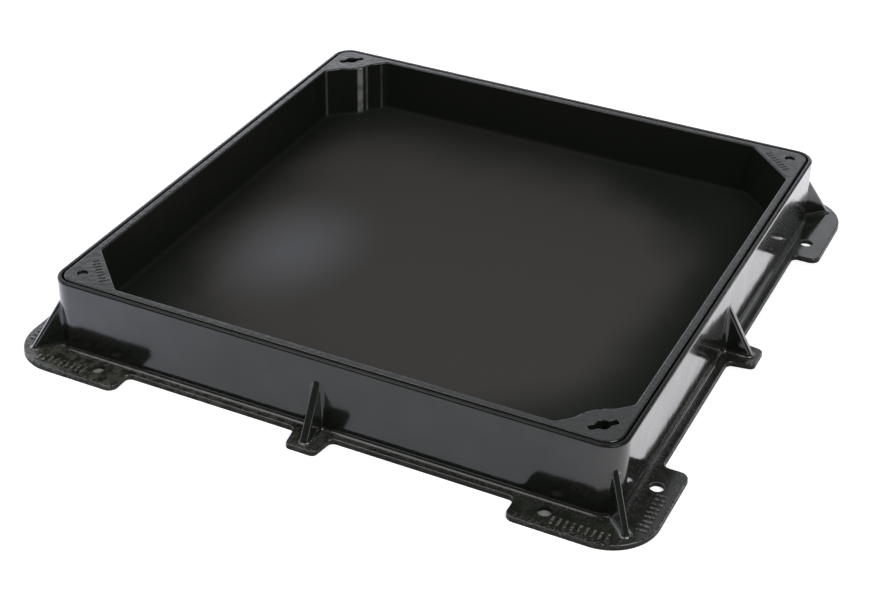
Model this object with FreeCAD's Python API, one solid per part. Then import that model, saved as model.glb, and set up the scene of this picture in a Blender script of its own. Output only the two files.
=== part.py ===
import FreeCAD, Part
import math
import os

# Recessed access cover: a square cast frame and the tray-shaped cover that rests in it.
# Millimetres. +Z is up, X runs along the front wall and Y towards the back.
# The origin is the middle of the frame's underside.

# Frame: walls and seat
frame_side = 660.0
frame_height = 91.0
frame_wall = 4.8
frame_corner_radius = 24.0
frame_top_round = 3.0
frame_lip_round = 1.0
seat_width = 25.2
seat_thickness = 8.0
opening_corner_radius = 15.0

# Frame: base flange, corner pads and middle tabs
flange_width = 11.0
flange_thickness = 6.0
flange_round = 1.5
flange_inner_radius = 7.0
root_fillet = 4.5
pad_width = 40.5
pad_length = 102.0
pad_corner_radius = 54.0
pad_end_radius = 10.0
pad_hole_diameter = 16.0
pad_hole_setback = 17.0
pad_hole_from_corner = 68.0
tab_reach = 39.5
tab_tip_width = 34.0
tab_root_width = 43.0
tab_corner_radius = 6.0

# Frame: gusset ribs, whose tops lie this far below the rim
rib_round = 2.8
corner_rib_thickness = 7.0
corner_rib_reach = 37.0
corner_rib_drop = 29.0
middle_rib_thickness = 9.0
middle_rib_reach = 33.0
middle_rib_drop = 26.5

# Cover: rim, recess and bearing skirt
cover_clearance = 2.4
cover_wall = 9.0
cover_edge_round = 2.0
skirt_height = 8.0
skirt_width = 12.0
floor_thickness = 7.0
floor_fillet = 5.0
recess_corner_radius = 8.0

# Cover: corner plates, each over a pocket that is open from below
corner_leg = 60.0
plate_thickness = 10.0
corner_wall = 8.0
pocket_corner_radius = 4.0
key_inset = 24.3
key_slot_length = 32.0
key_slot_width = 7.2
key_slot_end_radius = 2.5
key_eye_diameter = 14.5
key_eye_blend = 4.0
boss_radius = 48.0
boss_bulge = 5.0
boss_fillet = 24.0
lock_inset = 19.3
lock_diameter = 12.0
lock_depth = 2.2
plate_hole_round = 0.8

# Plain raised bars on the two front pads and on the two lock plates
pad_mark_count = 9
pad_mark_pitch = 7.2
pad_mark_length = 12.0
pad_mark_width = 3.4
pad_mark_height = 1.0
pad_mark_round = 0.9
pad_mark_setback = 27.0
pad_mark_from_corner = 27.0
plate_mark_count = 8
plate_mark_pitch = 6.0
plate_mark_length = 8.0
plate_mark_width = 2.4
plate_mark_height = 0.6
plate_mark_round = 0.4
plate_mark_from_edge = 10.0

# Worked-out sizes
half_side = frame_side / 2
half_opening = half_side - frame_wall - seat_width
half_cover = half_side - frame_wall - cover_clearance
half_recess = half_cover - cover_wall
cover_corner_radius = frame_corner_radius - frame_wall - cover_clearance
floor_underside = seat_thickness + skirt_height
floor_top = floor_underside + floor_thickness
plate_underside = frame_height - plate_thickness
corner_face = (half_side - frame_corner_radius) * math.sqrt(2) + frame_corner_radius
plate_edge = (2 * half_recess - corner_leg) / math.sqrt(2)
key_middle = (half_cover - key_inset) * math.sqrt(2)
lock_middle = (half_cover - lock_inset) * math.sqrt(2)
recess_corner_trim = recess_corner_radius * math.tan(math.radians(22.5))

UP = FreeCAD.Vector(0, 0, 1)
ORIGIN = FreeCAD.Vector(0, 0, 0)
QUARTER_TURNS = (0, 90, 180, 270)
KEY_CORNER_DEGREES = (-45, 135)
LOCK_CORNER_DEGREES = (45, 225)
FRONT_PAD_ARMS = ((-1, 0), (1, 0), (-1, 90), (1, 270))
OVERRUN = 1.0
TOUCH = 0.01


def flat(x, y):
    """Point on the ground plane."""
    return FreeCAD.Vector(x, y, 0)


def turned(shape, degrees):
    """Copy of a shape turned about the upright axis through the origin."""
    copy = shape.copy()
    copy.rotate(ORIGIN, UP, degrees)
    return copy


def all_round(shape):
    """The shape and its three copies, one on each side of the square."""
    return [turned(shape, degrees) for degrees in QUARTER_TURNS]


def rounded_wire(corners):
    """Closed flat outline through corners (x, y, radius), each rounded by a tangent arc."""
    bends = []
    for index, (x, y, radius) in enumerate(corners):
        corner = flat(x, y)
        before = flat(*corners[index - 1][:2])
        after = flat(*corners[(index + 1) % len(corners)][:2])
        arriving = (corner - before).normalize()
        leaving = (after - corner).normalize()
        half_turn = arriving.getAngle(leaving) / 2
        inward = (leaving - arriving).normalize()
        entry = corner - arriving * (radius * math.tan(half_turn))
        middle = corner + inward * (radius / math.cos(half_turn) - radius)
        leave = corner + leaving * (radius * math.tan(half_turn))
        bends.append((entry, middle, leave))
    edges = []
    for index, (entry, middle, leave) in enumerate(bends):
        edges.append(Part.Arc(entry, middle, leave).toShape())
        edges.append(Part.LineSegment(leave, bends[(index + 1) % len(bends)][0]).toShape())
    return Part.Wire(edges)


def square_wire(half, radius):
    """Square outline about the origin with rounded corners."""
    corners = [(-half, -half), (half, -half), (half, half), (-half, half)]
    return rounded_wire([(x, y, radius) for x, y in corners])


def prism(wire, low, high):
    """Upright solid on a flat outline, from one height to another."""
    face = Part.Face(wire)
    face.translate(UP * low)
    return face.extrude(UP * (high - low))


def level_edges(shape, height, reach):
    """Edges at one height that stay within a square of the given half width."""
    def inside(edge):
        box = edge.BoundBox
        level = max(abs(box.ZMin - height), abs(box.ZMax - height)) < TOUCH
        return level and max(-box.XMin, box.XMax, -box.YMin, box.YMax) < reach + TOUCH
    return [edge for edge in shape.Edges if inside(edge)]


def middle_of(edge):
    """Vertex halfway along an edge."""
    first, last = edge.ParameterRange
    return Part.Vertex(edge.valueAt((first + last) / 2))


def joint_edges(shape, pieces):
    """Edges of a fused shape that none of its pieces had: those where the pieces meet."""
    old = Part.Compound([edge for piece in pieces for edge in piece.Edges])
    return [edge for edge in shape.Edges if old.distToShape(middle_of(edge))[0] > TOUCH]


def rim_edges(shape, height, cutters):
    """Edges at one height that lie on the tools that cut the shape."""
    tools = Part.Compound(cutters)
    level = level_edges(shape, height, frame_side)
    return [edge for edge in level if tools.distToShape(middle_of(edge))[0] < TOUCH]


def bar(middle_x, middle_y, size_x, size_y, low, high, top_round):
    """Upright box about a point of the plan, with a rounded top."""
    corner = FreeCAD.Vector(middle_x - size_x / 2, middle_y - size_y / 2, low)
    box = Part.makeBox(size_x, size_y, high - low, corner)
    return box.makeFillet(top_round, level_edges(box, high, frame_side))


def mark_offsets(count, pitch):
    """Places of a row of bars about its middle."""
    return [(index - (count - 1) / 2) * pitch for index in range(count)]


def base_wire():
    """Outline of the base: four corner pads, narrow flanges and a tab in the middle of each side."""
    pad_edge = half_side + pad_width
    flange_edge = half_side + flange_width
    tab_edge = half_side + tab_reach
    pad_end = half_side - pad_length
    front = [
        (-pad_edge, -pad_edge, pad_corner_radius),
        (-pad_end, -pad_edge, pad_end_radius),
        (-pad_end, -flange_edge, flange_inner_radius),
        (-tab_root_width / 2, -flange_edge, flange_inner_radius),
        (-tab_tip_width / 2, -tab_edge, tab_corner_radius),
        (tab_tip_width / 2, -tab_edge, tab_corner_radius),
        (tab_root_width / 2, -flange_edge, flange_inner_radius),
        (pad_end, -flange_edge, flange_inner_radius),
        (pad_end, -pad_edge, pad_end_radius),
    ]
    corners = []
    for degrees in QUARTER_TURNS:
        turn = FreeCAD.Rotation(UP, degrees)
        for x, y, radius in front:
            point = turn.multVec(flat(x, y))
            corners.append((point.x, point.y, radius))
    return rounded_wire(corners)


def rib(wall_face, thickness, reach, drop):
    """Triangular gusset along +X, rooted in a wall at the given distance and in the flange below it."""
    root = wall_face - frame_wall / 2
    sunk = flange_thickness / 2
    steepness = (frame_height - drop - flange_thickness) / reach
    peak = frame_height - drop + steepness * (wall_face - root)
    toe = wall_face + reach + (flange_thickness - sunk) / steepness
    points = [FreeCAD.Vector(x, -thickness / 2, z) for x, z in ((root, sunk), (toe, sunk), (root, peak))]
    gusset = Part.Face(Part.makePolygon(points + points[:1])).extrude(FreeCAD.Vector(0, thickness, 0))
    slope = math.hypot(toe - root, peak - sunk)
    sloping = [edge for edge in gusset.Edges if abs(edge.Length - slope) < TOUCH]
    return gusset.makeFillet(rib_round, sloping)


def pad_holes():
    """Fixing holes, two in each corner pad."""
    along = half_side - pad_hole_from_corner
    across = half_side + pad_hole_setback
    depth = flange_thickness + 2 * OVERRUN
    pair = [
        Part.makeCylinder(pad_hole_diameter / 2, depth, FreeCAD.Vector(side * along, -across, -OVERRUN))
        for side in (-1, 1)
    ]
    return [hole for one in pair for hole in all_round(one)]


def pad_marks():
    """Rows of raised bars on the two front pads, one row on each arm."""
    across = half_side + pad_mark_setback
    top = flange_thickness + pad_mark_height
    marks = []
    for side, degrees in FRONT_PAD_ARMS:
        middle = side * (half_side - pad_mark_from_corner)
        for offset in mark_offsets(pad_mark_count, pad_mark_pitch):
            place = (middle + offset, -across, pad_mark_width, pad_mark_length)
            marks.append(turned(bar(*place, flange_thickness / 2, top, pad_mark_round), degrees))
    return marks


def make_frame():
    """One casting: base flange with pads and tabs, upright walls, gusset ribs and the inner seat."""
    base = prism(base_wire(), 0, flange_thickness)
    base = base.makeFillet(flange_round, level_edges(base, flange_thickness, half_side + pad_width))
    walls = prism(square_wire(half_side, frame_corner_radius), flange_thickness / 2, frame_height)
    walls = walls.makeFillet(frame_top_round, level_edges(walls, frame_height, half_side))
    corner_rib = rib(corner_face, corner_rib_thickness, corner_rib_reach, corner_rib_drop)
    corner_rib = turned(corner_rib, KEY_CORNER_DEGREES[0])
    middle_rib = rib(half_side, middle_rib_thickness, middle_rib_reach, middle_rib_drop)
    raised = [walls] + all_round(corner_rib) + all_round(middle_rib)
    frame = base.fuse(raised)
    frame = frame.makeFillet(root_fillet, joint_edges(frame, [base] + raised))

    inner_radius = frame_corner_radius - frame_wall
    well = prism(square_wire(half_side - frame_wall, inner_radius), seat_thickness, frame_height + OVERRUN)
    way_through = prism(square_wire(half_opening, opening_corner_radius), -OVERRUN, frame_height)
    frame = frame.cut([well, way_through])
    frame = frame.makeFillet(frame_lip_round, level_edges(frame, frame_height, half_side - frame_wall))

    frame = frame.cut(pad_holes())
    return frame.fuse(pad_marks()).removeSplitter()


def corner_edges(with_boss):
    """Recess outline at a corner on +X, from one rounded end of its wall to the other."""
    turn = math.radians(45)
    plate_end = flat(plate_edge, corner_leg / math.sqrt(2))
    round_start = plate_end - flat(0, recess_corner_trim)
    round_end = plate_end + flat(-math.sin(turn), math.cos(turn)) * recess_corner_trim
    sagitta = recess_corner_radius / math.cos(turn / 2) - recess_corner_radius
    round_middle = plate_end - flat(math.cos(turn / 2), math.sin(turn / 2)) * sagitta

    upper = []
    last = flat(plate_edge, 0)
    if with_boss:
        boss_middle = flat(plate_edge - boss_bulge + boss_radius, 0)
        reach = boss_radius + boss_fillet
        fillet_y = math.sqrt(reach ** 2 - (reach - boss_bulge) ** 2)
        fillet_middle = flat(plate_edge - boss_fillet, fillet_y)
        away = (fillet_middle - boss_middle).normalize()
        boss_end = boss_middle + away * boss_radius
        boss_waist = boss_middle + (away + flat(-1, 0)).normalize() * boss_radius
        fillet_waist = fillet_middle + (flat(1, 0) - away).normalize() * boss_fillet
        last = flat(plate_edge, fillet_y)
        upper.append(Part.Arc(flat(plate_edge - boss_bulge, 0), boss_waist, boss_end))
        upper.append(Part.Arc(boss_end, fillet_waist, last))
    upper.append(Part.LineSegment(last, round_start))
    upper.append(Part.Arc(round_start, round_middle, round_end))
    edges = [curve.toShape() for curve in upper]
    return edges + [edge.mirror(ORIGIN, flat(0, 1)) for edge in edges]


def recess_wire():
    """Plan of the recess: straight sides between two key corners and two lock corners."""
    edges = []
    for turns, with_boss in ((KEY_CORNER_DEGREES, True), (LOCK_CORNER_DEGREES, False)):
        corner = corner_edges(with_boss)
        edges.extend(turned(edge, degrees) for degrees in turns for edge in corner)
    straight_end = half_recess - corner_leg - recess_corner_trim
    side = Part.LineSegment(flat(-straight_end, -half_recess), flat(straight_end, -half_recess)).toShape()
    edges.extend(all_round(side))
    return Part.Wire(Part.__sortEdges__(edges))


def corner_pocket():
    """Hollow under the plate of a corner in the +X, +Y quarter."""
    near = half_recess
    reach = corner_leg - corner_wall * math.sqrt(2)
    outline = [
        (near, near, pocket_corner_radius),
        (near - reach, near, pocket_corner_radius),
        (near, near - reach, pocket_corner_radius),
    ]
    return prism(rounded_wire(outline), seat_thickness - OVERRUN, plate_underside)


def key_slot():
    """Lifting-key slot with a round eye blended into its middle, in a corner on +X."""
    low = plate_underside - OVERRUN
    high = frame_height + OVERRUN
    x = key_slot_width / 2
    y = key_slot_length / 2
    corners = [(-x, -y), (x, -y), (x, y), (-x, y)]
    slot = prism(rounded_wire([(cx, cy, key_slot_end_radius) for cx, cy in corners]), low, high)
    eye = Part.makeCylinder(key_eye_diameter / 2, high - low, UP * low)
    keyhole = slot.fuse(eye).removeSplitter()
    keyhole = keyhole.makeFillet(key_eye_blend, joint_edges(keyhole, [slot, eye]))
    keyhole.translate(flat(key_middle, 0))
    return keyhole


def lock_recess():
    """Round blind recess in the plate of a corner on +X."""
    low = FreeCAD.Vector(lock_middle, 0, frame_height - lock_depth)
    return Part.makeCylinder(lock_diameter / 2, lock_depth + OVERRUN, low)


def plate_marks():
    """Row of raised bars along the inner edge of the plate of a corner on +X."""
    row = plate_edge + plate_mark_from_edge
    low = frame_height - plate_thickness / 2
    top = frame_height + plate_mark_height
    return [
        bar(row, offset, plate_mark_length, plate_mark_width, low, top, plate_mark_round)
        for offset in mark_offsets(plate_mark_count, plate_mark_pitch)
    ]


def make_cover():
    """One casting: a tray with a thin rim, four corner plates and a skirt that bears on the seat."""
    cover = prism(square_wire(half_cover, cover_corner_radius), seat_thickness, frame_height)
    recess = prism(recess_wire(), floor_top, frame_height + OVERRUN)
    recess = recess.makeFillet(floor_fillet, level_edges(recess, floor_top, half_recess))
    underside = prism(
        square_wire(half_cover - skirt_width, cover_corner_radius), seat_thickness - OVERRUN, floor_underside
    )
    cover = cover.cut([recess, underside])
    cover = cover.makeFillet(cover_edge_round, level_edges(cover, frame_height, half_cover))

    holes = [turned(key_slot(), degrees) for degrees in KEY_CORNER_DEGREES]
    holes += [turned(lock_recess(), degrees) for degrees in LOCK_CORNER_DEGREES]
    marks = [turned(mark, degrees) for degrees in LOCK_CORNER_DEGREES for mark in plate_marks()]
    cover = cover.cut(all_round(corner_pocket()) + holes)
    cover = cover.makeFillet(plate_hole_round, rim_edges(cover, frame_height, holes))
    return cover.fuse(marks).removeSplitter()


os.makedirs("parts", exist_ok=True)
make_frame().exportStep("parts/frame.step")
make_cover().exportStep("parts/recessed_cover.step")
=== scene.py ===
"""Finishes, studio and camera for a recessed manhole cover: a cast frame and the tray resting in it."""
import logging
import math
from dataclasses import dataclass
from enum import Enum

import bpy
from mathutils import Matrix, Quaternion, Vector

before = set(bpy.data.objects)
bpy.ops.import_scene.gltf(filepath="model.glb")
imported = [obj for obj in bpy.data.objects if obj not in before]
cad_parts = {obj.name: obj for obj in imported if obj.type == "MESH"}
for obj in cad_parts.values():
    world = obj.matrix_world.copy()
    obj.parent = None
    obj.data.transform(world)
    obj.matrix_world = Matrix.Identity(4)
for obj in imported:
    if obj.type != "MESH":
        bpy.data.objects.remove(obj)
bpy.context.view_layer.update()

LOG = logging.getLogger("manhole_cover")
PHOTO_WIDTH_PX = 871
DIAGONAL = math.sqrt(0.5)

Socket = bpy.types.NodeSocket
Triple = tuple[float, float, float]
# Where a change starts and where it ends. Places and heights are metres in the part's frame.
Fade = tuple[float, float]
WHOLE: Fade = (0.0, 1.0)


class Piece(Enum):
    """The two castings, by their names in the frame."""

    FRAME = "frame"
    COVER = "recessed_cover"


class Slot(Enum):
    """Names of the finish slots."""

    FRAME = "frame_coating"
    COVER = "cover_coating"


@dataclass(frozen=True)
class Cloud:
    """Uneven clouds: noise with lumps of one size, cut off between two of its levels."""

    grain: float
    detail: float = 2.0
    roughness: float = 0.5
    levels: Fade = (0.35, 0.65)


@dataclass(frozen=True)
class Wave:
    """Unevenness of a cast surface: the size of its lumps and their depth."""

    grain: float
    depth: float
    detail: float = 2.0


@dataclass(frozen=True)
class BossHighlight:
    """Upright painted highlight on a boss: its place beside the diagonal, its half width and its
    strength.
    """

    middle: float
    width: float
    share: float


class NodeSheet:
    """A node tree of a material or of the room, with short calls for the nodes that are used here."""

    def __init__(self, tree: bpy.types.NodeTree, output: str) -> None:
        """Clears the tree and starts it with an output node.

        Args:
            tree: Node tree to build in.
            output: Output node's identifier.
        """
        self.tree = tree
        self.tree.nodes.clear()
        self.output = self.add(output)

    def add(self, kind: str, **settings: object) -> bpy.types.Node:
        """Adds a node and sets its properties.

        Args:
            kind: Node type's identifier.
            **settings: Property names and values.

        Returns:
            The new node.
        """
        node = self.tree.nodes.new(kind)
        for key, value in settings.items():
            setattr(node, key, value)
        return node

    def feed(self, socket: Socket, value: object) -> None:
        """Links an input to a socket, or sets it to a plain value.

        Args:
            socket: Input to feed.
            value: Socket, number or colour.
        """
        if isinstance(value, Socket):
            self.tree.links.new(value, socket)
        else:
            socket.default_value = value

    def axes(self, coordinates: str = "Object") -> tuple[Socket, Socket, Socket]:
        """Splits texture coordinates.

        Args:
            coordinates: Name of the coordinates.

        Returns:
            Sockets of X, Y and Z.
        """
        split = self.add("ShaderNodeSeparateXYZ")
        self.feed(split.inputs[0], self.add("ShaderNodeTexCoord").outputs[coordinates])
        return tuple(split.outputs)

    def math(self, operation: str, *values: object) -> Socket:
        """Adds a Math node.

        Args:
            operation: The node's operation.
            *values: Sockets or numbers, in order.

        Returns:
            The result's socket.
        """
        node = self.add("ShaderNodeMath", operation=operation)
        for socket, value in zip(node.inputs, values):
            self.feed(socket, value)
        return node.outputs[0]

    def product(self, *values: object) -> Socket:
        """Multiplies sockets and numbers.

        Args:
            *values: Two or more sockets or numbers.

        Returns:
            The product's socket.
        """
        result = values[0]
        for value in values[1:]:
            result = self.math("MULTIPLY", result, value)
        return result

    def without(self, value: object) -> Socket:
        """What a share leaves of 1."""
        return self.math("SUBTRACT", 1.0, value)

    def step(self, value: Socket, fade: Fade, first: float = 0.0, last: float = 1.0) -> Socket:
        """Smooth step of a value from one level to another.

        Args:
            value: Socket to read.
            fade: Values where the step starts and ends.
            first: Result at the start.
            last: Result at the end.

        Returns:
            The result's socket.
        """
        node = self.add("ShaderNodeMapRange", interpolation_type="SMOOTHSTEP")
        for name, number in zip(("From Min", "From Max", "To Min", "To Max"), (*fade, first, last)):
            node.inputs[name].default_value = number
        self.feed(node.inputs["Value"], value)
        return node.outputs["Result"]

    def noise(self, grain: float, detail: float, roughness: float = 0.5) -> Socket:
        """Noise on object coordinates.

        Args:
            grain: Size of its lumps in metres.
            detail: Octaves.
            roughness: Share that each octave adds.

        Returns:
            The noise value's socket.
        """
        node = self.add("ShaderNodeTexNoise")
        self.feed(node.inputs["Vector"], self.add("ShaderNodeTexCoord").outputs["Object"])
        for name, number in (("Scale", 1 / grain), ("Detail", detail), ("Roughness", roughness)):
            node.inputs[name].default_value = number
        return node.outputs["Fac"]

    def cloud(self, cloud: Cloud, first: float = 0.0, last: float = 1.0) -> Socket:
        """Clouds between two values.

        Args:
            cloud: Pattern of the clouds.
            first: Value between the clouds.
            last: Value in the clouds.

        Returns:
            The value's socket.
        """
        noise = self.noise(cloud.grain, cloud.detail, cloud.roughness)
        return self.step(noise, cloud.levels, first, last)

    def blend(self, share: Socket, first: object, second: object) -> Socket:
        """Colour between two colours.

        Args:
            share: Share of the second colour.
            first: Colour or socket at 0.
            second: Colour or socket at 1.

        Returns:
            The colour's socket.
        """
        node = self.add("ShaderNodeMix", data_type="RGBA")
        self.feed(node.inputs["Factor"], share)
        for name, value in (("A", first), ("B", second)):
            socket = next(s for s in node.inputs if s.name == name and s.type == "RGBA")
            self.feed(socket, (*value, 1.0) if isinstance(value, tuple) else value)
        return next(s for s in node.outputs if s.type == "RGBA")

    def relief(self, height: Socket, depth: float, under: Socket | None = None) -> Socket:
        """Bumped normal.

        Args:
            height: Height from 0 to 1.
            depth: Depth of the relief in metres.
            under: Normal that this relief lies on.

        Returns:
            The normal's socket.
        """
        node = self.add("ShaderNodeBump")
        node.inputs["Distance"].default_value = depth
        self.feed(node.inputs["Height"], height)
        if under is not None:
            self.feed(node.inputs["Normal"], under)
        return node.outputs["Normal"]


@dataclass(frozen=True)
class CastingPaint:
    """Black gloss coating over a sand casting, thin and mottled on the top edges."""

    name: str
    black: Triple = (0.0112, 0.0132, 0.0100)
    scuffed: Triple = (0.026, 0.026, 0.025)
    under_shine: float = 0.12
    gloss: float = 0.08
    satin: float = 0.16
    satin_clouds: Cloud = Cloud(0.03, 4.0, 0.6, (0.35, 0.70))
    coat_roughness: float = 0.13
    coat_clouds: Cloud = Cloud(0.045, 3.0, 0.6)
    cloud_coat: float = 0.90
    thin_coat: float = 0.70
    waves: tuple[Wave, ...] = (Wave(0.085, 0.0008, 1.0), Wave(0.028, 0.00022), Wave(0.0055, 0.000018))
    rim_fade: Fade = (0.0885, 0.0905)
    rim_mottle: Cloud = Cloud(0.0065, 3.0, 0.6, (0.38, 0.62))
    rim_depth: float = 0.00008

    def make(self) -> bpy.types.Material:
        """Builds the coating.

        Returns:
            The coating's material.
        """
        material = bpy.data.materials.new(self.name)
        material.use_nodes = True
        sheet = NodeSheet(material.node_tree, "ShaderNodeOutputMaterial")
        shader = sheet.add("ShaderNodeBsdfPrincipled")
        sheet.feed(sheet.output.inputs["Surface"], shader.outputs[0])
        shader.inputs["Specular IOR Level"].default_value = self.under_shine
        shader.inputs["Coat Roughness"].default_value = self.coat_roughness
        worn = sheet.product(self.rim(sheet), sheet.cloud(self.rim_mottle))
        sheet.feed(shader.inputs["Base Color"], self.colour(sheet, worn))
        sheet.feed(shader.inputs["Coat Weight"], self.coat(sheet, worn))
        sheet.feed(shader.inputs["Roughness"], self.roughness(sheet))
        normal = self.surface(sheet, worn)
        sheet.feed(shader.inputs["Normal"], normal)
        sheet.feed(shader.inputs["Coat Normal"], normal)
        return material

    def rim(self, sheet: NodeSheet) -> Socket:
        """Share of the surface that is a top edge or a plate, from 0 to 1."""
        return sheet.step(sheet.axes()[2], self.rim_fade)

    def colour(self, sheet: NodeSheet, worn: Socket) -> Socket:
        """Black, greyer where the top edges are worn."""
        return sheet.blend(worn, self.black, self.scuffed)

    def coat(self, sheet: NodeSheet, worn: Socket) -> Socket:
        """Full gloss, thinner in clouds and where the top edges are worn."""
        clouds = sheet.cloud(self.coat_clouds, self.cloud_coat, 1.0)
        return sheet.product(clouds, sheet.step(worn, WHOLE, 1.0, self.thin_coat))

    def roughness(self, sheet: NodeSheet) -> Socket:
        """Gloss with slightly duller clouds."""
        return sheet.cloud(self.satin_clouds, self.gloss, self.satin)

    def surface(self, sheet: NodeSheet, worn: Socket) -> Socket:
        """Slow waves, ripples and fine orange peel, with lumps on the worn edges.

        Args:
            sheet: Node tree to add to.
            worn: Worn share of the surface.

        Returns:
            The normal's socket.
        """
        normal = None
        for wave in self.waves:
            normal = sheet.relief(sheet.noise(wave.grain, wave.detail), wave.depth, normal)
        return sheet.relief(worn, self.rim_depth, normal)


@dataclass(frozen=True)
class FramePaint(CastingPaint):
    """The frame's coating, with sandy grain along the flange and the outer edges of the pads."""

    scuffed: Triple = (0.013, 0.014, 0.012)
    # Rim colour on the left and at the back: a painted reflection.
    pale: Triple = (0.055, 0.055, 0.057)
    film: Triple = (0.056, 0.057, 0.046)
    dust: Triple = (0.085, 0.083, 0.073)
    # Pale tops of the raised bars: wear, and also a painted highlight.
    sheen_and_wear: Triple = (0.150, 0.148, 0.136)
    rim_depth: float = 0.00004
    rim_coat: float = 0.22
    thin_rim_fade: Fade = (-0.32, 0.10)
    lip_fade: Fade = (0.3265, 0.3271)
    bare_lip_fade: Fade = (-0.10, 0.20)
    pale_rim_fade: Fade = (-0.12, 0.10)
    side_fade: Fade = (0.0044, 0.0050)
    side_roughness: float = 0.6
    film_fade: Fade = (0.0065, 0.0090)
    film_clouds: Cloud = Cloud(0.010, 4.0, 0.65, (0.38, 0.62))
    film_right_fade: Fade = (-0.2, 0.2)
    film_right: float = 0.25
    grain_fade: Fade = (0.0062, 0.0068)
    grain_spots: Cloud = Cloud(0.0030, 3.0, 0.65, (0.48, 0.70))
    grain_depth: float = 0.00025
    flange_fade: Fade = (0.331, 0.344)
    flange_grain: float = 0.6
    pad_grain: float = 0.15
    pad_edge_fade: Fade = (0.356, 0.368)
    grain_back_fade: Fade = (-0.15, 0.15)
    grain_back: float = 0.25
    bar_foot_fade: Fade = (0.0064, 0.0069)
    bar_top_fade: Fade = (0.0073, 0.0076)
    bar_start_fade: Fade = (0.345, 0.348)
    bar_wear_and_glint: Cloud = Cloud(0.0025)

    def reach(self, sheet: NodeSheet) -> Socket:
        """Distance from the middle, measured square to the sides."""
        x, y, _ = sheet.axes()
        return sheet.math("MAXIMUM", sheet.math("ABSOLUTE", x), sheet.math("ABSOLUTE", y))

    def across(self, sheet: NodeSheet) -> Socket:
        """X less Y, which grows from the back left corner to the front right one."""
        x, y, _ = sheet.axes()
        return sheet.math("SUBTRACT", x, y)

    def side(self, sheet: NodeSheet) -> Socket:
        """Share of the surface that is a low, rough side of the flange or a pad, from 0 to 1."""
        return sheet.step(sheet.axes()[2], self.side_fade, 1.0, 0.0)

    def grains(self, sheet: NodeSheet) -> Socket:
        """Sandy grain on the low edges outside the walls.

        Args:
            sheet: Node tree to add to.

        Returns:
            The grain's socket, from 0 to 1.
        """
        _, y, z = sheet.axes()
        reach = self.reach(sheet)
        flange = sheet.step(reach, self.flange_fade, self.flange_grain, self.pad_grain)
        edge = sheet.step(reach, self.pad_edge_fade)
        low = sheet.step(z, self.grain_fade, 1.0, 0.0)
        front = sheet.step(y, self.grain_back_fade, 1.0, self.grain_back)
        spots = sheet.cloud(self.grain_spots)
        return sheet.product(sheet.math("MAXIMUM", flange, edge), low, spots, front)

    def bars(self, sheet: NodeSheet) -> Socket:
        """Rubbed tops of the raised bars on the pads, worn and with a painted highlight.

        Args:
            sheet: Node tree to add to.

        Returns:
            The socket of the share of bar tops that is worn and painted as a highlight, from 0 to 1.
        """
        height = sheet.axes()[2]
        raised = sheet.step(height, self.bar_foot_fade)
        under = sheet.step(height, self.bar_top_fade, 1.0, 0.0)
        outside = sheet.step(self.reach(sheet), self.bar_start_fade)
        return sheet.product(raised, under, outside, sheet.cloud(self.bar_wear_and_glint))

    def colour(self, sheet: NodeSheet, worn: Socket) -> Socket:
        """Black, with a paler rim on the left and at the back that is a painted reflection, film and dust
        below, and rubbed bars whose pale tops are wear and a painted highlight.

        Args:
            sheet: Node tree to add to.
            worn: Worn share of the surface.

        Returns:
            The colour's socket.
        """
        x, _, z = sheet.axes()
        # The paler rim on the left and at the back is a painted reflection.
        far = sheet.step(self.across(sheet), self.pale_rim_fade, 1.0, 0.0)
        edge = sheet.blend(sheet.product(self.rim(sheet), far), super().colour(sheet, worn), self.pale)
        low = sheet.step(z, self.film_fade, 1.0, 0.0)
        left = sheet.step(x, self.film_right_fade, 1.0, self.film_right)
        dull = sheet.blend(sheet.product(low, sheet.cloud(self.film_clouds), left), edge, self.film)
        dusty = sheet.blend(self.grains(sheet), dull, self.dust)
        # The bars' pale tops are wear and also a painted highlight.
        return sheet.blend(self.bars(sheet), dusty, self.sheen_and_wear)

    def coat(self, sheet: NodeSheet, worn: Socket) -> Socket:
        """Gloss above the low sides, thin on the front rim and bare on its lip in front and on the right.

        Args:
            sheet: Node tree to add to.
            worn: Worn share of the surface.

        Returns:
            The coat weight's socket.
        """
        rim = self.rim(sheet)
        front = sheet.step(sheet.axes()[1], self.thin_rim_fade, 1.0, 0.0)
        edge = sheet.step(sheet.product(rim, front), WHOLE, 1.0, self.rim_coat)
        near = sheet.step(self.across(sheet), self.bare_lip_fade)
        lip = sheet.step(self.reach(sheet), self.lip_fade, 1.0, 0.0)
        bare = sheet.math("MAXIMUM", self.side(sheet), sheet.product(rim, near, lip))
        return sheet.product(super().coat(sheet, worn), edge, sheet.without(bare))

    def roughness(self, sheet: NodeSheet) -> Socket:
        """Gloss, with rough low sides."""
        rough = sheet.product(self.side(sheet), self.side_roughness)
        return sheet.math("MAXIMUM", super().roughness(sheet), rough)

    def surface(self, sheet: NodeSheet, worn: Socket) -> Socket:
        """The coating's waves, with the grain standing on them."""
        return sheet.relief(self.grains(sheet), self.grain_depth, super().surface(sheet, worn))


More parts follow.
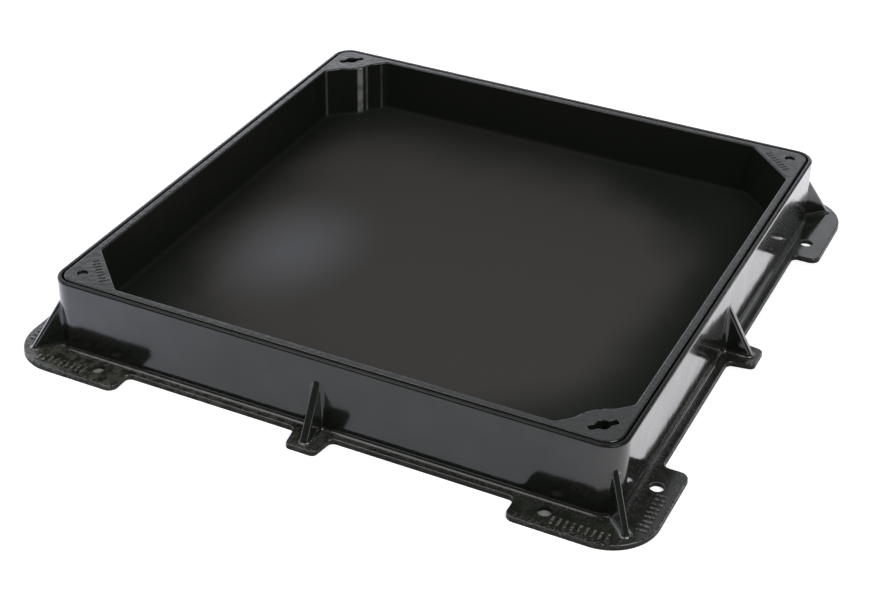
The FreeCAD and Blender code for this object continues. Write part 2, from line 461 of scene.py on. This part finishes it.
@dataclass(frozen=True)
class TrayPaint(CastingPaint):
    """The cover's coating, dull on the tray floor, with a grey middle that is a painted pool of light,
    one paler patch that is a painted reflection, and painted highlights on the bosses.
    """

    under_shine: float = 0.03
    # Grey of the floor's middle: a painted pool of light.
    grey: Triple = (0.0426, 0.0406, 0.0370)
    # Paler, bluish colour of the floor patch: a painted reflection.
    sheen_and_wear: Triple = (0.088, 0.089, 0.095)
    # Colour of the painted highlights on the bosses.
    painted_highlight: Triple = (0.300, 0.310, 0.285)
    matt: float = 0.60
    floor_fade: Fade = (0.0285, 0.0325)
    left_fade: Fade = (-0.330, -0.220)
    right_fade: Fade = (0.290, 0.205)
    front_fade: Fade = (-0.360, -0.200)
    back_fade: Fade = (0.360, 0.170)
    back_right_fade: Fade = (0.450, 0.300)
    back_left_fade: Fade = (0.620, 0.400)
    front_left_fade: Fade = (0.500, 0.360)
    front_right_fade: Fade = (0.480, 0.330)
    drift: float = 0.010
    drift_clouds: Cloud = Cloud(0.09, levels=(0.2, 0.8))
    patch_x: float = -0.188
    patch_y: float = -0.060
    patch_width: float = 0.110
    patch_depth: float = 0.152
    boss_near_fade: Fade = (0.384, 0.385)
    boss_far_fade: Fade = (0.411, 0.412)
    highlight_low_fade: Fade = (0.024, 0.029)
    highlight_high_fade: Fade = (0.0895, 0.0905)
    highlight_core: float = 0.3
    highlight_clouds: Cloud = Cloud(0.014, 3.0, levels=(0.25, 0.60))
    highlight_least: float = 0.35
    highlight_streaks: tuple[BossHighlight, ...] = (
        BossHighlight(0.004, 0.0055, 1.0), BossHighlight(0.0135, 0.0025, 0.35),
        BossHighlight(0.035, 0.0025, 0.16), BossHighlight(-0.0415, 0.0025, 0.25),
    )

    def floor(self, sheet: NodeSheet) -> Socket:
        """Share of the surface that is tray floor, from 0 to 1."""
        return sheet.step(sheet.axes()[2], self.floor_fade, 1.0, 0.0)

    def middle(self, sheet: NodeSheet) -> Socket:
        """Share of the floor that is grey, a painted pool of light that fades into painted shade towards
        the walls and the corners.

        Args:
            sheet: Node tree to add to.

        Returns:
            The share's socket, from 0 to 1.
        """
        drift = sheet.cloud(self.drift_clouds, -self.drift, self.drift)
        x, y = (sheet.math("ADD", axis, drift) for axis in sheet.axes()[:2])
        across = sheet.product(sheet.step(x, self.left_fade), sheet.step(x, self.right_fade))
        deep = sheet.product(sheet.step(y, self.front_fade), sheet.step(y, self.back_fade))
        total, difference = sheet.math("ADD", x, y), sheet.math("SUBTRACT", x, y)
        corners = sheet.product(
            sheet.step(total, self.back_right_fade),
            sheet.step(sheet.product(total, -1.0), self.front_left_fade),
            sheet.step(difference, self.front_right_fade),
            sheet.step(sheet.product(difference, -1.0), self.back_left_fade),
        )
        return sheet.product(self.floor(sheet), across, deep, corners)

    def patch(self, sheet: NodeSheet) -> Socket:
        """Share of the floor under the painted reflection, from 1 in the patch's middle to 0 on its
        outline.

        Args:
            sheet: Node tree to add to.

        Returns:
            The share's socket.
        """
        x, y, _ = sheet.axes()
        across = sheet.math("DIVIDE", sheet.math("SUBTRACT", x, self.patch_x), self.patch_width)
        deep = sheet.math("DIVIDE", sheet.math("SUBTRACT", y, self.patch_y), self.patch_depth)
        squares = sheet.math("ADD", sheet.product(across, across), sheet.product(deep, deep))
        return sheet.step(sheet.math("SQRT", squares), WHOLE, 1.0, 0.0)

    def boss_highlight_share(self, sheet: NodeSheet) -> Socket:
        """Upright painted highlights on the two bosses.

        Args:
            sheet: Node tree to add to.

        Returns:
            The highlighted share's socket, from 0 to 1.
        """
        x, y, z = sheet.axes()
        out = sheet.product(sheet.math("ABSOLUTE", sheet.math("SUBTRACT", x, y)), DIAGONAL)
        along = sheet.product(sheet.math("ADD", x, y), DIAGONAL)
        near = sheet.step(out, self.boss_near_fade)
        far = sheet.step(out, self.boss_far_fade, 1.0, 0.0)
        low = sheet.step(z, self.highlight_low_fade)
        high = sheet.step(z, self.highlight_high_fade, 1.0, 0.0)
        streaks: object = 0.0
        for highlight in self.highlight_streaks:
            offset = sheet.math("ABSOLUTE", sheet.math("SUBTRACT", along, highlight.middle))
            fade = (self.highlight_core * highlight.width, highlight.width)
            streaks = sheet.math("MAXIMUM", streaks, sheet.step(offset, fade, highlight.share, 0.0))
        patches = sheet.cloud(self.highlight_clouds, self.highlight_least)
        return sheet.product(streaks, near, far, low, high, patches)

    def colour(self, sheet: NodeSheet, worn: Socket) -> Socket:
        """Black walls and floor edge, a grey middle that is a painted pool of light with painted shade
        towards the walls, a paler patch on it that is a painted reflection, and painted highlights on the
        bosses.

        Args:
            sheet: Node tree to add to.
            worn: Worn share of the surface.

        Returns:
            The colour's socket.
        """
        # The grey middle is a painted pool of light, darkening as painted shade towards the walls and
        # corners.
        middle = self.middle(sheet)
        grey = sheet.blend(middle, super().colour(sheet, worn), self.grey)
        # The pale upright streaks on the bosses are painted highlights.
        painted_highlight = sheet.blend(self.boss_highlight_share(sheet), grey, self.painted_highlight)
        # The paler patch on the grey middle is a painted reflection.
        return sheet.blend(sheet.product(middle, self.patch(sheet)), painted_highlight, self.sheen_and_wear)

    def roughness(self, sheet: NodeSheet) -> Socket:
        """Matt on the floor, gloss elsewhere."""
        floor = sheet.product(self.floor(sheet), self.matt)
        return sheet.math("MAXIMUM", super().roughness(sheet), floor)

    def coat(self, sheet: NodeSheet, worn: Socket) -> Socket:
        """Gloss on the walls, the rim and the plates only."""
        return sheet.product(super().coat(sheet, worn), sheet.without(self.floor(sheet)))


@dataclass
class Casting:
    """One casting of the frame, which keeps its solid and gets its finish."""

    piece: Piece
    slot: Slot
    paint: CastingPaint

    def dress(self) -> bpy.types.Object:
        """Puts the finish in the casting's material slot.

        Returns:
            The casting's object.
        """
        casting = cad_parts[self.piece.value]
        casting.data.materials.clear()
        casting.data.materials.append(self.paint.make())
        LOG.info("%s: %d faces, finish %s", casting.name, len(casting.data.polygons), self.paint.name)
        return casting


@dataclass(frozen=True)
class SoftBox:
    """A square lamp."""

    name: str
    place: Triple
    side: float
    watts: float
    aim: Triple = (0.0, 0.0, 0.05)

    def build(self) -> bpy.types.Object:
        """Adds the lamp, turned to its aim.

        Returns:
            The lamp's object.
        """
        data = bpy.data.lights.new(self.name, "AREA")
        data.size = self.side
        data.energy = self.watts
        lamp = bpy.data.objects.new(self.name, data)
        bpy.context.scene.collection.objects.link(lamp)
        lamp.location = self.place
        lamp.rotation_euler = (Vector(self.aim) - Vector(self.place)).to_track_quat("-Z", "Y").to_euler()
        return lamp


@dataclass
class StudioFloor:
    """White floor with a glow for the camera and reflections, and shade under some of the pad holes."""

    half: float = 6.0
    drop: float = 0.0002
    white: Triple = (0.90, 0.90, 0.90)
    camera_white: Triple = (1.0, 1.0, 1.0)
    shade_colour: Triple = (0.22, 0.22, 0.21)
    shade_across: tuple[Fade, Fade] = ((0.236, 0.242), (0.284, 0.290))
    shade_deep: tuple[Fade, Fade] = ((0.330, 0.335), (0.357, 0.363))
    camera_glow: float = 0.50
    glow: float = 0.23
    glow_colour: Triple = (0.87, 0.88, 1.19)
    left_glow: float = 0.52
    left_fade: Fade = (-0.45, -0.12)
    right_glow: float = 0.36
    right_colour: Triple = (0.97, 0.94, 1.00)
    right_fade: Fade = (0.20, 0.36)
    far_glow: float = 0.90
    far_start_fade: Fade = (0.372, 0.40)
    far_deep_fade: Fade = (0.0, 0.2)

    def build(self) -> bpy.types.Object:
        """Makes the floor.

        Returns:
            The floor's object.
        """
        bpy.ops.object.select_all(action="DESELECT")
        bpy.ops.mesh.primitive_plane_add(size=2 * self.half, location=(0, 0, -self.drop))
        floor = bpy.context.active_object
        floor.name = "studio_floor"
        floor.data.materials.append(self.finish())
        return floor

    def finish(self) -> bpy.types.Material:
        """Builds the floor's finish, a matt white with the glow added.

        Returns:
            The floor's material.
        """
        material = bpy.data.materials.new("studio_white")
        material.use_nodes = True
        sheet = NodeSheet(material.node_tree, "ShaderNodeOutputMaterial")
        shade = self.shade(sheet)
        matt = sheet.add("ShaderNodeBsdfDiffuse")
        sheet.feed(matt.inputs["Color"], sheet.blend(shade, self.white, self.shade_colour))
        rays = sheet.add("ShaderNodeLightPath").outputs
        right = sheet.step(sheet.axes()[0], self.right_fade)
        tint = sheet.blend(right, self.glow_colour, self.right_colour)
        glow = sheet.add("ShaderNodeEmission")
        sheet.feed(glow.inputs["Color"], sheet.blend(rays["Is Camera Ray"], tint, self.camera_white))
        mirrored = sheet.math("MAXIMUM", rays["Is Glossy Ray"], rays["Is Transmission Ray"])
        seen = sheet.product(rays["Is Camera Ray"], self.camera_glow)
        strength = sheet.math("ADD", seen, sheet.product(mirrored, self.mirrored_glow(sheet)))
        sheet.feed(glow.inputs["Strength"], sheet.product(strength, sheet.without(shade)))
        both = sheet.add("ShaderNodeAddShader")
        sheet.feed(both.inputs[0], matt.outputs[0])
        sheet.feed(both.inputs[1], glow.outputs[0])
        sheet.feed(sheet.output.inputs["Surface"], both.outputs[0])
        return material

    def mirrored_glow(self, sheet: NodeSheet) -> Socket:
        """The floor's glow in the part's gloss, stronger at both ends.

        Args:
            sheet: Node tree to add to.

        Returns:
            The strength's socket.
        """
        x, y, _ = sheet.axes()
        left = sheet.step(x, self.left_fade, self.left_glow, 0.0)
        right = sheet.step(x, self.right_fade, self.glow, self.glow + self.right_glow)
        far = sheet.product(
            sheet.step(x, self.far_start_fade), sheet.step(y, self.far_deep_fade, 0.0, self.far_glow)
        )
        return sheet.math("ADD", sheet.math("ADD", left, right), far)

    def shade(self, sheet: NodeSheet) -> Socket:
        """Share of the floor that lies in shade, under the holes of the front and back pads.

        Args:
            sheet: Node tree to add to.

        Returns:
            The share's socket, from 0 to 1.
        """
        bands = []
        for axis, (start, end) in zip(sheet.axes(), (self.shade_across, self.shade_deep)):
            distance = sheet.math("ABSOLUTE", axis)
            bands += [sheet.step(distance, start), sheet.step(distance, end, 1.0, 0.0)]
        return sheet.product(*bands)


@dataclass
class StudioRoom:
    """Room with a pale backdrop, which is darker on the camera's side and white to the camera."""

    colour: Triple = (0.95, 0.97, 1.04)
    back_direction: tuple[float, float] = (-0.75, 0.66)
    front_strength: float = 0.09
    back_strength: float = 0.78
    back_fade: Fade = (0.30, 0.68)
    sides_fade: Fade = (0.3, 0.7)
    corner_strength: float = 1.00
    corner_fade: Fade = (-0.50, -0.25)
    corner_height_fade: Fade = (0.45, 0.53)
    right_strength: float = 0.48
    right_fade: Fade = (-0.30, -0.15)
    right_height_fade: Fade = (0.48, 0.60)

    def build(self) -> None:
        """Gives the scene its world."""
        world = bpy.data.worlds.new("studio_room")
        bpy.context.scene.world = world
        world.use_nodes = True
        sheet = NodeSheet(world.node_tree, "ShaderNodeOutputWorld")
        background = sheet.add("ShaderNodeBackground")
        camera = sheet.add("ShaderNodeLightPath").outputs["Is Camera Ray"]
        sheet.feed(background.inputs["Strength"], sheet.math("MAXIMUM", self.light(sheet), camera))
        background.inputs["Color"].default_value = (*self.colour, 1.0)
        sheet.feed(sheet.output.inputs["Surface"], background.outputs[0])

    def light(self, sheet: NodeSheet) -> Socket:
        """Light of the room by direction: a backdrop, with more in its low corner and on its right.

        Args:
            sheet: Node tree to add to.

        Returns:
            The strength's socket.
        """
        x, y, z = sheet.axes("Generated")
        along = [sheet.product(axis, share) for axis, share in zip((x, y), self.back_direction)]
        towards = sheet.math("ADD", *along)
        back = sheet.step(towards, self.back_fade, self.front_strength, self.back_strength)
        corner = sheet.product(
            sheet.step(x, self.corner_fade, self.corner_strength, 0.0),
            sheet.step(z, self.corner_height_fade, 1.0, 0.0),
        )
        right = sheet.product(
            sheet.step(x, self.right_fade, 0.0, self.right_strength),
            sheet.step(z, self.right_height_fade, 1.0, 0.0),
        )
        sides = sheet.product(sheet.math("ADD", corner, right), sheet.step(towards, self.sides_fade))
        return sheet.math("ADD", back, sides)


@dataclass
class Studio:
    """Floor, room and soft boxes."""

    boxes: tuple[SoftBox, ...] = (
        SoftBox("soft_box_top", (-0.86, -0.72, 2.1), 1.5, 19.0),
        SoftBox("soft_box_right", (1.65, -0.65, 2.25), 1.4, 42.0),
        SoftBox("soft_box_back", (1.6, 2.0, 0.95), 0.5, 2.4),
    )

    def build(self) -> None:
        """Builds the floor, the room and the lamps."""
        StudioFloor().build()
        StudioRoom().build()
        for box in self.boxes:
            box.build()


@dataclass
class PhotoView:
    """Camera at the photograph's viewing angle."""

    place: Triple = (0.73924, -1.59587, 1.11973)
    aim: Triple = (0.06384, -0.18647, 0.09100)
    roll_degrees: float = 0.93
    focal_px: float = 1772.26
    sensor: float = 36.0

    def build(self) -> bpy.types.Object:
        """Makes the camera and gives it to the scene.

        Returns:
            The camera's object.
        """
        data = bpy.data.cameras.new("photo_view")
        data.sensor_width = self.sensor
        data.lens = self.focal_px * self.sensor / PHOTO_WIDTH_PX
        camera = bpy.data.objects.new("photo_view", data)
        bpy.context.scene.collection.objects.link(camera)
        looking = (Vector(self.aim) - Vector(self.place)).to_track_quat("-Z", "Y")
        camera.rotation_mode = "QUATERNION"
        camera.rotation_quaternion = looking @ Quaternion((0, 0, 1), math.radians(self.roll_degrees))
        camera.location = self.place
        bpy.context.scene.camera = camera
        return camera


def main() -> None:
    """Dresses both castings and builds the studio and the camera."""
    logging.basicConfig(level=logging.INFO)
    bpy.context.scene.view_settings.view_transform = "Standard"
    Casting(Piece.FRAME, Slot.FRAME, FramePaint("frame_gloss_black")).dress()
    Casting(Piece.COVER, Slot.COVER, TrayPaint("cover_gloss_black")).dress()
    Studio().build()
    PhotoView().build()


if __name__ == "__main__":
    main()
